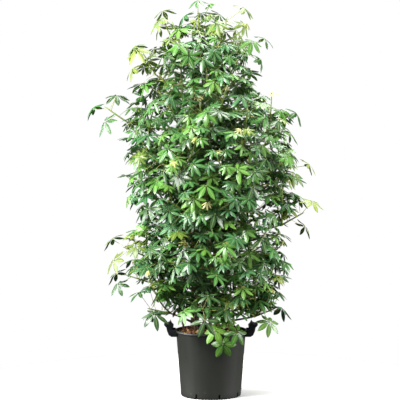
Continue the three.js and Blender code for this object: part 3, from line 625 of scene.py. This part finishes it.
wood_points = []
wood_normals = []
for number in range(1, STEMS + 1):
    node = f"stem_{number}"
    stem = merged_copy(node, f"{node}_wood")
    for vertex in stem.data.vertices:
        wood_points.append(np.array(vertex.co))
        wood_normals.append(np.array(vertex.normal))
    finish_with(stem, "SUBSURF", levels=2, render_levels=2)
    finish_with(stem, "DISPLACE", strength=STEM_SWELL, mid_level=0.0)
    stem.data.materials.append(stem_bark)
    smooth(stem, 70)
    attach(stem, "root")
    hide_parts(node)
wood_points = np.array(wood_points)
wood_normals = np.array(wood_normals)

# Leafy shoots. Each green shoot carries compound leaves on long stalks: six to nine leaflets in an
# umbrella round a pale hub, dark and waxy when grown, yellow-green or cream when young.
CROWN = [
    # height, reach to the left, reach to the right
    (0.340, 0.150, 0.200), (0.470, 0.260, 0.330), (0.600, 0.420, 0.420), (0.840, 0.450, 0.420),
    (1.090, 0.470, 0.480), (1.400, 0.450, 0.460), (1.480, 0.430, 0.320), (1.600, 0.390, 0.230),
    (1.720, 0.330, 0.195), (1.870, 0.190, 0.115), (1.970, 0.080, 0.030),
]
SHOOTS = 41
YOUNG_SHOOTS = {9, 10, 12, 15, 16, 17}
HANGING_SHOOT = 8
MORE_LEAVES_PER_SHOOT = 7
GROWN_LEAF = {"leaflets": (7, 7, 8, 8, 9), "size": (0.044, 0.077)}
YOUNG_LEAF = {"leaflets": (7, 7, 8), "size": (0.040, 0.060)}
LEAF_DROOP = (5, 32)
LEAFLET_DROOP = math.radians(5)
NECK = 0.007
SOLID_NECK = 0.008
HUB_EDGES = 20
NOTCH_REACH = 0.0115
STALK_BELOW_HUB = 0.005
SHOOT_END = 0.004
SHOOT_SKIN = 0.002
HUB_SPACING = 0.037
MOST_HUBS = 4000
CROWN_EDGE = 0.035
HOLLOW_FROM = 0.45
HOLLOW_SCALE = 6.0
HOLLOW_BELOW = -0.24
POT_CLEARANCE = 0.055
BARE_ABOVE_BARK = 0.385
LOWEST_LEAF = 0.30
ROW_PLACES = [0, 0.09, 0.18, 0.32, 0.48, 0.64, 0.80, 0.93, 1.0]
ROW_WIDTHS = [0.07, 0.08, 0.38, 0.78, 1.0, 0.98, 0.74, 0.36, 0.0]
UP = np.array((0.0, 0.0, 1.0))
growth = random.Random(5)


def any_way():
    """A random vector that is as likely to point one way as another."""
    return np.array([growth.gauss(0, 1) for _ in range(3)])


def crown_reach(height, bearing):
    """How far the crown reaches from the pot's axis at a height, towards a bearing in radians."""
    rows = np.array(CROWN)
    left = np.interp(height, rows[:, 0], rows[:, 1])
    right = np.interp(height, rows[:, 0], rows[:, 2])
    sideways = right if math.cos(bearing) > 0 else left
    return 1 / math.hypot(math.cos(bearing) / sideways, math.sin(bearing) / ((left + right) / 2))


# One leaflet: two halves folded along the rib and drawn to a point, with an underside that meets
# the top all round the edge
LEAFLET_ROWS = len(ROW_PLACES) - 1
bpy.ops.mesh.primitive_grid_add(x_subdivisions=LEAFLET_ROWS, y_subdivisions=2, size=2)
blade = bpy.context.object
flat_points, flat_triangles = mesh_arrays(blade)
bpy.data.objects.remove(blade)
flat_rows = np.rint((flat_points[:, 0] + 1) / 2 * LEAFLET_ROWS).astype(int)
tip = np.flatnonzero(flat_rows == LEAFLET_ROWS)
flat_triangles = np.where(np.isin(flat_triangles, tip), tip[0], flat_triangles)
whole = [len(set(corners)) == 3 for corners in flat_triangles.tolist()]
used, flat_triangles = np.unique(flat_triangles[whole], return_inverse=True)
flat_triangles = flat_triangles.reshape(-1, 3)
along = np.array(ROW_PLACES)[flat_rows[used]]
across = np.where(along == 1, 0, flat_points[used, 1])
width = np.array(ROW_WIDTHS)[flat_rows[used]]
inner = np.flatnonzero((np.abs(across) < 0.99) & (along > 0) & (along < 1))
below = np.arange(len(along))
below[inner] = len(along) + np.arange(len(inner))
leaflet_triangles = np.vstack([flat_triangles, below[flat_triangles][:, ::-1]])
underside = np.concatenate([np.zeros(len(along)), np.ones(len(inner))])
along = np.concatenate([along, along[inner]])
across = np.concatenate([across, across[inner]])
width = np.concatenate([width, width[inner]])


def leaf_like(leaf):
    """Fills in a new leaf's leaflets from its hub, stalk direction, normal, count, size and droop."""
    side = unit(np.cross(-leaf["out"], leaf["normal"]))
    front = np.cross(leaf["normal"], side)
    leaf["blades"] = []
    for number in range(leaf["count"]):
        angle = math.pi / 2 + 2 * math.pi * (number + 0.5) / leaf["count"]
        away = side * math.cos(angle) + front * math.sin(angle)
        cross = front * math.cos(angle) - side * math.sin(angle)
        droop = leaf["droop"] + LEAFLET_DROOP * math.sin(number * 2.4)
        rib = away * math.cos(droop) - leaf["normal"] * math.sin(droop)
        length = leaf["size"] * (0.95 - 0.12 * math.sin(angle))
        leaf["blades"].append((rib, cross, length))
    return leaf


def read_shoot(number):
    """A shoot's foot and tip, and its leaves, read from the corners of its solid."""
    solid = bmesh.new()
    solid.from_mesh(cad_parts[f"shoot_{number:02d}"].data)
    bmesh.ops.remove_doubles(solid, verts=solid.verts, dist=SAME_POINT)
    solid.verts.index_update()
    taken = set()
    leaves = []
    for hub in solid.verts:
        if len(hub.link_edges) < HUB_EDGES:
            continue
        centre = np.array(hub.co)
        round_hub = [edge.other_vert(hub) for edge in hub.link_edges]
        notches = [v for v in round_hub if (v.co - hub.co).length < NOTCH_REACH]
        normal = unit(centre - np.mean([np.array(v.co) for v in notches], axis=0))
        side = unit(np.cross(normal, np.array(notches[0].co) - centre))
        front = np.cross(normal, side)
        round_hub.sort(key=lambda v: math.atan2(np.dot(np.array(v.co) - centre, front),
                                                np.dot(np.array(v.co) - centre, side)))
        first = round_hub.index(notches[0])
        round_hub = round_hub[first:] + round_hub[:first]
        blades = []
        for place in range(0, len(round_hub), 4):
            _, right, point, left = [np.array(v.co) for v in round_hub[place:place + 4]]
            blades.append((unit(point - centre), unit(left - right), np.linalg.norm(point - centre)))
        taken.update(round_hub + [hub])
        ring = {edge.other_vert(v) for v in notches for edge in v.link_edges} - taken
        ring = [v for v in ring if np.dot(np.array(v.co) - centre, normal) < -STALK_BELOW_HUB]
        stalk = [centre - normal * SOLID_NECK]
        for _ in range(2 if number == HANGING_SHOOT else 1):
            taken.update(ring)
            ring = {edge.other_vert(v) for v in ring for edge in v.link_edges} - taken
            ring = sorted(ring, key=lambda v: v.index)
            stalk.append(np.mean([np.array(v.co) for v in ring], axis=0))
        taken.update(ring)
        leaves.append({"hub": centre, "normal": normal, "blades": blades, "stalk": stalk[::-1]})
    tube_points = np.array([np.array(v.co) for v in solid.verts if v not in taken])
    solid.free()
    middle = tube_points.mean(axis=0)
    axis = np.linalg.svd(tube_points - middle)[2][0]
    reach = (tube_points - middle) @ axis
    ends = [tube_points[reach < reach.min() + SHOOT_END].mean(axis=0),
            tube_points[reach > reach.max() - SHOOT_END].mean(axis=0)]
    ends.sort(key=lambda end: np.linalg.norm(wood_points - end, axis=1).min())
    return ends[0], ends[1], leaves


def new_leaf(root, out, young, stalk_length):
    """A leaf on a stalk that leaves the wood or the shoot at a root, in a direction."""
    kind = YOUNG_LEAF if young else GROWN_LEAF
    outward = unit(root * (1, 1, 0) + (1e-6, 0, 0))
    hub = root + out * stalk_length
    normal = unit(0.3 * out + growth.uniform(0.6, 1.2) * UP + growth.uniform(0.0, 0.5) * outward
                  + 0.28 * any_way())
    bow = UP * growth.uniform(-0.006, 0.008)
    neck = hub - NECK * normal
    stalk = [root, root * 0.55 + neck * 0.45 + bow, neck]
    leaf = {"hub": hub, "normal": normal, "out": out, "stalk": stalk,
            "count": growth.choice(kind["leaflets"]), "size": growth.uniform(*kind["size"]),
            "droop": math.radians(growth.uniform(*LEAF_DROOP))}
    return leaf_like(leaf)


def in_crown(leaf):
    """Whether a new leaf keeps inside the crown, out of its shady hollows and off pot and bark."""
    tips = np.array([leaf["hub"] + rib * length for rib, _, length in leaf["blades"]])
    x, y, z = leaf["hub"]
    reach = crown_reach(z, math.atan2(y, x))
    if math.hypot(x, y) > reach - CROWN_EDGE:
        return False
    density = noise.noise(Vector((x, y, z)) * HOLLOW_SCALE)
    if math.hypot(x, y) > HOLLOW_FROM * reach and density < HOLLOW_BELOW:
        return False
    if (tips < np.array(cad_box[0])).any() or (tips > np.array(cad_box[1])).any():
        return False
    every = np.vstack([tips, leaf["hub"][None], (tips + leaf["hub"]) / 2])
    over_pot = np.hypot(every[:, 0], every[:, 1]) < LIP_RADIUS + POT_CLEARANCE
    return not (over_pot & (every[:, 2] < BARE_ABOVE_BARK)).any() and every[:, 2].min() > LOWEST_LEAF


def room_at(place):
    """How far a place is from the nearest hub so far."""
    return np.linalg.norm(hub_places[:hub_count] - place, axis=1).min()


def keep_hub(leaf):
    """Notes a leaf's hub, so that later leaves keep away from it."""
    global hub_count
    hub_places[hub_count] = leaf["hub"]
    hub_count += 1


def best_leaf(tries, grow, *given):
    """The best placed of several new leaves, the one whose hub has the most room, and notes its hub."""
    best, most = None, HUB_SPACING
    for _ in range(tries):
        leaf = grow(*given)
        if not in_crown(leaf):
            continue
        room = room_at(leaf["hub"])
        if room > most:
            best, most = leaf, room
    if best:
        keep_hub(best)
    return best


def leaf_on_shoot(foot, top, young):
    """A new leaf somewhere along a green shoot."""
    axis = unit(top - foot)
    share = growth.uniform(0.1, 1.0)
    sideways = unit(np.cross(axis, any_way()))
    opening = math.radians(growth.uniform(15, 100))
    out = axis * math.cos(opening) + sideways * math.sin(opening)
    root = foot + (top - foot) * share + sideways * SHOOT_SKIN
    return new_leaf(root, out, young, growth.uniform(0.05, 0.125))


hub_places = np.zeros((MOST_HUBS, 3))
hub_count = 0
shoots = {number: read_shoot(number) for number in range(1, SHOOTS + 1)}
for _, _, leaves in shoots.values():
    for leaf in leaves:
        keep_hub(leaf)
for _ in range(MORE_LEAVES_PER_SHOOT):
    for number, (foot, top, leaves) in shoots.items():
        leaf = best_leaf(14, leaf_on_shoot, foot, top, number in YOUNG_SHOOTS)
        if leaf:
            leaves.append(leaf)

# Side shoots. They fill the crown's outline between the larger shoots, and are as green and soft:
# each leaves the wood low down, bends up and out, and may end in a newest leaf of pale cream.
SIDE_SHOOTS = 78
SIDE_SHOOT_POINTS = 8
LEAVES_PER_SIDE_SHOOT = 9
TIP_INSIDE = 0.075
FRONT_INSIDE = 0.085
FRESH_ABOVE = 1.80
FRESH_SHARE = 0.2
NEW_TIPS = [
    # sideways place and height of the tips that carry a juvenile leaf, at the front or edge of the crown
    (-0.117, 0.780), (-0.018, 0.968), (0.068, 0.783), (0.022, 1.218), (-0.225, 1.845), (0.170, 1.833),
    (0.295, 1.483), (-0.300, 0.620), (0.150, 0.560), (-0.060, 1.480), (0.230, 0.460), (0.290, 0.540),
    (0.110, 0.445),
]


def juvenile(root, out):
    """A tip's newest leaf: small cream leaflets that still hang folded round its short stalk."""
    leaf = new_leaf(root, unit(out + 0.6 * UP), True, growth.uniform(0.018, 0.04))
    leaf["size"] = growth.uniform(0.030, 0.044)
    leaf["droop"] = math.radians(growth.uniform(30, 60))
    leaf["cream"] = True
    return leaf_like(leaf)


def front_place(sideways, height):
    """The point on the crown's front, or on its edge, at a place sideways and a height."""
    wide = crown_reach(height, 0 if sideways > 0 else math.pi)
    deep = crown_reach(height, -math.pi / 2)
    forward = (FRONT_INSIDE - deep) * math.sqrt(max(0, 1 - (sideways / wide) ** 2))
    return np.array([sideways, forward, height])


def emptiest_place():
    """The place with the most room among fifty under the crown's outline."""
    best, most = None, 0
    for _ in range(50):
        height = growth.uniform(0.45, 1.84)
        bearing = growth.uniform(-math.pi, math.pi)
        reach = (crown_reach(height, bearing) - TIP_INSIDE) * growth.uniform(0.82, 1.0)
        place = np.array([reach * math.cos(bearing), reach * math.sin(bearing), height])
        room = room_at(place)
        if room > most:
            best, most = place, room
    return best


def side_shoot(end):
    """The line of a shoot that climbs from the nearest wood below to its end."""
    lower = (wood_points[:, 2] < max(end[2] - 0.07, 0.42)) & (wood_points[:, 2] > 0.35)
    wood = wood_points[lower]
    root = wood[np.argmin(np.linalg.norm(wood - end, axis=1))]
    bend = root + (end - root) * (0.62, 0.62, 0.30)
    shares = np.linspace(0, 1, SIDE_SHOOT_POINTS)[:, None]
    return (1 - shares) ** 2 * root + 2 * shares * (1 - shares) * bend + shares ** 2 * end


def leaf_on_side_shoot(line, number, fresh):
    """A side shoot's new leaf: the first ones leave its tip steeply, the later ones lower down."""
    last = SIDE_SHOOT_POINTS - 1
    share = last * (1 - 0.62 * number / LEAVES_PER_SIDE_SHOOT) - growth.uniform(0, 0.4)
    root = np.array([np.interp(share, np.arange(SIDE_SHOOT_POINTS), line[:, k]) for k in range(3)])
    ahead = unit(np.gradient(line, axis=0)[int(round(share))])
    sideways = unit(np.cross(ahead, any_way()))
    opening = math.radians(growth.uniform(10, 50) if number < 2 else growth.uniform(40, 95))
    out = unit(ahead * math.cos(opening) + sideways * math.sin(opening) + 0.2 * UP)
    return new_leaf(root, out, fresh and number < 2, growth.uniform(0.04, 0.11))


side_shoots = []
for number in range(SIDE_SHOOTS):
    # A place is drawn for every side shoot, also where one of the new tips is used instead
    end = emptiest_place()
    if number < len(NEW_TIPS):
        end = front_place(*NEW_TIPS[number])
    line = side_shoot(end)
    fresh = line[-1][2] > FRESH_ABOVE or growth.random() < FRESH_SHARE
    leaves = []
    for leaf_number in range(LEAVES_PER_SIDE_SHOOT):
        leaf = best_leaf(12, leaf_on_side_shoot, line, leaf_number, fresh)
        if leaf:
            leaf["fresh"] = fresh and leaf_number == 0
            leaves.append(leaf)
    if number < len(NEW_TIPS) or number % 3 == 0:
        leaves.append(juvenile(line[-1], unit(line[-1] - line[-2])))
    side_shoots.append((line, leaves))

# Old leaves. The lowest ones stand on long stalks straight on the stems and branches, below the
# shoots. Their darker greens are partly age and partly painted shade for the shade that falls there.
LEAVES_ON_WOOD = 360
LEAFY_WOOD_ABOVE = 0.40
high_wood = np.flatnonzero(wood_points[:, 2] > LEAFY_WOOD_ABOVE)


def leaf_on_wood():
    """A new leaf anywhere on the wood above the bark."""
    spot = growth.choice(high_wood)
    outward = unit(wood_normals[spot] + 1e-6)
    out = unit(outward + 0.5 * UP * growth.uniform(-0.6, 1.4) + 0.5 * any_way())
    return new_leaf(wood_points[spot] - 0.002 * outward, out, False, growth.uniform(0.055, 0.15))


painted_shade_old_leaves = []
while len(painted_shade_old_leaves) < LEAVES_ON_WOOD:
    leaf = best_leaf(24, leaf_on_wood)
    if not leaf:
        break
    painted_shade_old_leaves.append(leaf)

# Foliage. All of these leaves have the same thin skin, so they are made alike: each with its ribbed
# leaflets, its stalk and its hub, on green shoots that end in a pointed bud.
GROWN_GREENS = ["#26562a", "#31652f", "#3a6e30", "#487b30", "#2d6036", "#568434", "#1f4720"]
# The leaves on the wood take these darker greens: partly their age, partly painted shade for the shaded
# inside of the crown
OLD_AND_PAINTED_SHADE_GREENS = ["#1b4513", "#235417", "#2c611c", "#173a10"]
YOUNG_GREENS = ["#577024", "#647828", "#4d6c28", "#6e7f2e"]
HANGING_GREENS = ["#46802c", "#528830", "#659636"]
CREAMS = ["#b3b16a", "#a9ab5e", "#bdb97a", "#98a052"]
STALK_GREENS = ["#8fa252", "#a5ad5c", "#7b8f45", "#b3b06a"]
SHOOT_GREEN = "#7f8f45"
STRAY_YOUNG = 0.02
BRIGHTNESS = (0.85, 1.2)
BLADE_THICKNESS = 0.0005
LEAFLET_HALF_WIDTH = 0.0130
LEAFLET_BREADTH = (0.125, 0.180)
CREAM_BREADTH = 0.11
HANGING_BREADTH = 1.3
LEAFLET_ARCH = (0.02, 0.07)
TIP_DROP = 0.05
RIB_FOLD = 0.0030
EDGE_WAVE = 0.0018
STALK_RADIUS = 0.0012
HUB_RADII = [0.0011, 0.0014, 0.0028, 0.0014]
SIDE_SHOOTS_PER_PIECE = 12
PAINTED_SHADE_OLD_LEAVES_PER_PIECE = 110


def leaf_surface(name, roughness, wax):
    """Leaf skin: its colour comes from each leaf, with paler veins on top and a dull, pale underside."""
    skin, tree, shader = new_material(name, {
        "Roughness": roughness, "Specular IOR Level": 0.5, "Coat Weight": wax, "Coat Roughness": 0.3})
    tint = add(tree, "Attribute", attribute_name="Tint")
    under = add(tree, "Attribute", attribute_name="Underside")
    blade_place = add(tree, "TexCoord")
    surface = add(tree, "SeparateXYZ", {"Vector": blade_place.outputs["UV"]})
    from_rib = add(tree, "Math", {0: surface.outputs["Y"], 1: 0.5}, operation="SUBTRACT")
    aside = add(tree, "Math", {0: from_rib.outputs[0]}, operation="ABSOLUTE")
    midrib = add(tree, "MapRange", {"Value": aside.outputs[0], 1: 0.015, 2: 0.05, 3: 1.0, 4: 0.0})
    # About ten pairs of side veins slant from the midrib to the edge
    slanted = add(tree, "Math", {0: surface.outputs["X"], 1: aside.outputs[0]}, operation="SUBTRACT")
    vein_angle = add(tree, "Math", {0: slanted.outputs[0], 1: 62.0}, operation="MULTIPLY")
    wave = add(tree, "Math", {0: vein_angle.outputs[0]}, operation="SINE")
    side_veins = add(tree, "MapRange", {"Value": wave.outputs[0], 1: 0.75, 2: 1.0, 3: 0.0, 4: 0.3})
    veins = add(tree, "Math", {0: midrib.outputs[0], 1: side_veins.outputs[0]}, operation="MAXIMUM")
    on_blade = add(tree, "Math", {0: veins.outputs[0], 1: tint.outputs["Alpha"]}, operation="MULTIPLY")
    paleness = add(tree, "Math", {0: on_blade.outputs[0], 1: 0.45}, operation="MULTIPLY")
    mottle = add(tree, "TexNoise", {"Vector": blade_place.outputs["Object"], "Scale": 55.0, "Detail": 3.0})
    shade = add(tree, "MapRange", {"Value": mottle.outputs["Fac"], 1: 0.3, 2: 0.7, 3: 0.82, 4: 1.18})
    body = add(tree, "VectorMath", {0: tint.outputs["Color"], "Scale": shade.outputs[0]}, operation="SCALE")
    veined = add(tree, "Mix", {
        "Factor": paleness.outputs[0], "A": body.outputs[0], "B": linear("#c6d68a")}, data_type="RGBA")
    dulled = add(tree, "Math", {0: under.outputs["Fac"], 1: 0.45}, operation="MULTIPLY")
    coloured = add(tree, "Mix", {
        "Factor": dulled.outputs[0], "A": veined.outputs["Result"], "B": linear("#9db57e")}, data_type="RGBA")
    dull = add(tree, "MapRange", {"Value": under.outputs["Fac"], 1: 0.0, 2: 1.0, 3: roughness, 4: 0.7})
    bump = add(tree, "Bump", {"Height": on_blade.outputs[0], "Strength": 0.25, "Distance": 0.0006})
    connect(tree, shader, {
        "Base Color": coloured.outputs["Result"], "Roughness": dull.outputs[0], "Normal": bump.outputs[0]})
    return skin


def leaf_tint(leaf, greens):
    """A leaf's colour: one of its greens, or yellow-green or cream when young, lighter or darker."""
    fresh = leaf.get("fresh") or (growth.random() < STRAY_YOUNG and greens != HANGING_GREENS)
    colour = linear(growth.choice(YOUNG_GREENS if fresh else greens))
    if leaf.get("cream"):
        colour = linear(growth.choice(CREAMS))
    brighten = growth.uniform(*BRIGHTNESS)
    return [channel * brighten for channel in colour[:3]] + [1.0]


def stalk_part(leaf):
    """A leaf's stalk with the swollen hub on its end. Its tint's alpha of 0 says that it has no veins."""
    hub, normal = leaf["hub"], leaf["normal"]
    line = [*leaf["stalk"], hub - 0.0006 * normal, hub + 0.0012 * normal]
    radii = [STALK_RADIUS] * (len(line) - len(HUB_RADII)) + HUB_RADII
    return (*tube(line, radii, 5), linear(growth.choice(STALK_GREENS))[:3] + (0.0,))


def shoot_part(line):
    """A green shoot along a line, with its foot in the wood and a pointed bud on its end."""
    ahead = unit(line[-1] - line[-2])
    foot = line[0] - 0.006 * unit(line[1] - line[0])
    line = [foot, *line, line[-1] + 0.010 * ahead, line[-1] + 0.016 * ahead]
    radii = [0.0040, *np.linspace(0.0044, 0.0030, len(line) - 3), 0.0020, 0.0006]
    return (*tube(line, radii, 7), linear(SHOOT_GREEN)[:3] + (0.0,))


def leafy_piece(name, leaves, skin, greens, axes=()):
    """One mesh of leaves, with their stalks and hubs, and the green shoots that carry them."""
    broader = HANGING_BREADTH if greens == HANGING_GREENS else 1.0
    rows = []
    stalks = []
    for leaf in leaves:
        tint = leaf_tint(leaf, greens)
        breadth = CREAM_BREADTH if leaf.get("cream") else growth.uniform(*LEAFLET_BREADTH)
        for rib, cross, length in leaf["blades"]:
            half = min(LEAFLET_HALF_WIDTH, length * breadth) * broader
            arch = growth.uniform(*LEAFLET_ARCH)
            phase = growth.uniform(0, WHOLE_TURN)
            face = unit(np.cross(rib, cross))
            rows.append((leaf["hub"], rib, cross, face, length, half, arch, phase, tint))
        stalks.append(stalk_part(leaf))
    points, triangles, tints = joined(stalks + [shoot_part(line) for line in axes])
    columns = [np.array(column) for column in zip(*rows)]
    hub, rib, cross, face = [column[:, None, :] for column in columns[:4]]
    length, half, arch, phase = [column[:, None] for column in columns[4:8]]
    edge = np.abs(across) * width
    rise = (arch * 4 * along * (1 - along) - TIP_DROP * along ** 3) * length
    wave = EDGE_WAVE * np.sin(7 * along + phase) * edge
    rise = rise - RIB_FOLD * edge + wave - BLADE_THICKNESS * underside
    blades = (hub + rib * (along * length)[..., None] + cross * (across * width * half)[..., None]
              + face * rise[..., None])
    starts = len(points) + len(along) * np.arange(len(rows))
    blade_triangles = (leaflet_triangles[None] + starts[:, None, None]).reshape(-1, 3)
    blade_uvs = np.stack([along, 0.5 + 0.5 * across], axis=1)
    piece = piece_from(
        name, skin,
        np.vstack([points, blades.reshape(-1, 3)]),
        np.vstack([triangles, blade_triangles]),
        np.vstack([tints, np.repeat(columns[8], len(along), axis=0)]),
        np.concatenate([np.zeros(len(points)), np.tile(underside, len(rows))]),
        np.vstack([np.zeros((len(points), 2)), np.tile(blade_uvs, (len(rows), 1))]))
    smooth(piece, 60)
    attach(piece, "root")
    return piece


# Leaf skin: a thin waxy layer gives a grown leaf a satin gloss; a young one is softer and duller
grown_skin = leaf_surface("waxy green leaf", 0.34, 0.10)
young_skin = leaf_surface("soft young leaf", 0.42, 0.05)

for number, (foot, top, leaves) in shoots.items():
    skin, greens, finish = grown_skin, GROWN_GREENS, "leaf_green"
    if number in YOUNG_SHOOTS:
        skin, greens, finish = young_skin, YOUNG_GREENS, "leaf_young"
    elif number == HANGING_SHOOT:
        greens = HANGING_GREENS
    axis = np.array([foot, (foot + top) / 2, top])
    piece = leafy_piece(f"leafy_shoot_{number:02d}", leaves, skin, greens, [axis])
    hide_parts(f"shoot_{number:02d}")

for start in range(0, SIDE_SHOOTS, SIDE_SHOOTS_PER_PIECE):
    bunch = side_shoots[start:start + SIDE_SHOOTS_PER_PIECE]
    leaves = [leaf for _, leaves in bunch for leaf in leaves]
    piece = leafy_piece(f"side_shoots_{start // SIDE_SHOOTS_PER_PIECE + 1}", leaves, grown_skin,
                        GROWN_GREENS, [line for line, _ in bunch])

# The leaves on the wood, in darker greens that are partly painted shade
for start in range(0, len(painted_shade_old_leaves), PAINTED_SHADE_OLD_LEAVES_PER_PIECE):
    piece = leafy_piece(f"painted_shade_old_leaves_{start // PAINTED_SHADE_OLD_LEAVES_PER_PIECE + 1}",
                        painted_shade_old_leaves[start:start + PAINTED_SHADE_OLD_LEAVES_PER_PIECE], grown_skin, OLD_AND_PAINTED_SHADE_GREENS)
